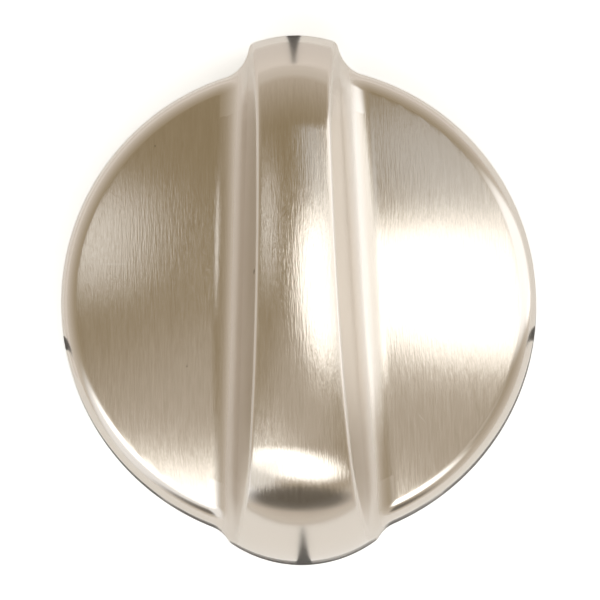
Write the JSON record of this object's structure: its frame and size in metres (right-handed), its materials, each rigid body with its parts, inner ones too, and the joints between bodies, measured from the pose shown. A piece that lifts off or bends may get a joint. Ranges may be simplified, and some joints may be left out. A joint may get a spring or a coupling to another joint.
{
  "type": "stove knob",
  "caption": "Round domed control knob with a tapered grip bar across its face and a sprung D socket behind, for the valve stem of a gas or electric stove.",
  "frame": {"origin": "on the valve stem axis, in the plane of the skin's back edge", "axes": "+Z out of the face, +Y along the grip bar to its narrow pointer end"},
  "size_m": [0.057, 0.0631, 0.0225],
  "materials": {
    "brushed_skin": "satin stainless, brushed along the bar on its face and top, polished rim, bar walls and ends",
    "core_plastic": "black moulded thermoset, fine matt",
    "band_steel": "bright rolled strip",
    "spring_steel": "tempered spring strip, slightly blue-grey"
  },
  "bodies": {
    "root": {"knob_shell": "brushed_skin", "core_insert": "core_plastic", "hub_band": "band_steel", "stem_spring": "spring_steel"}
  },
  "joints": []
}
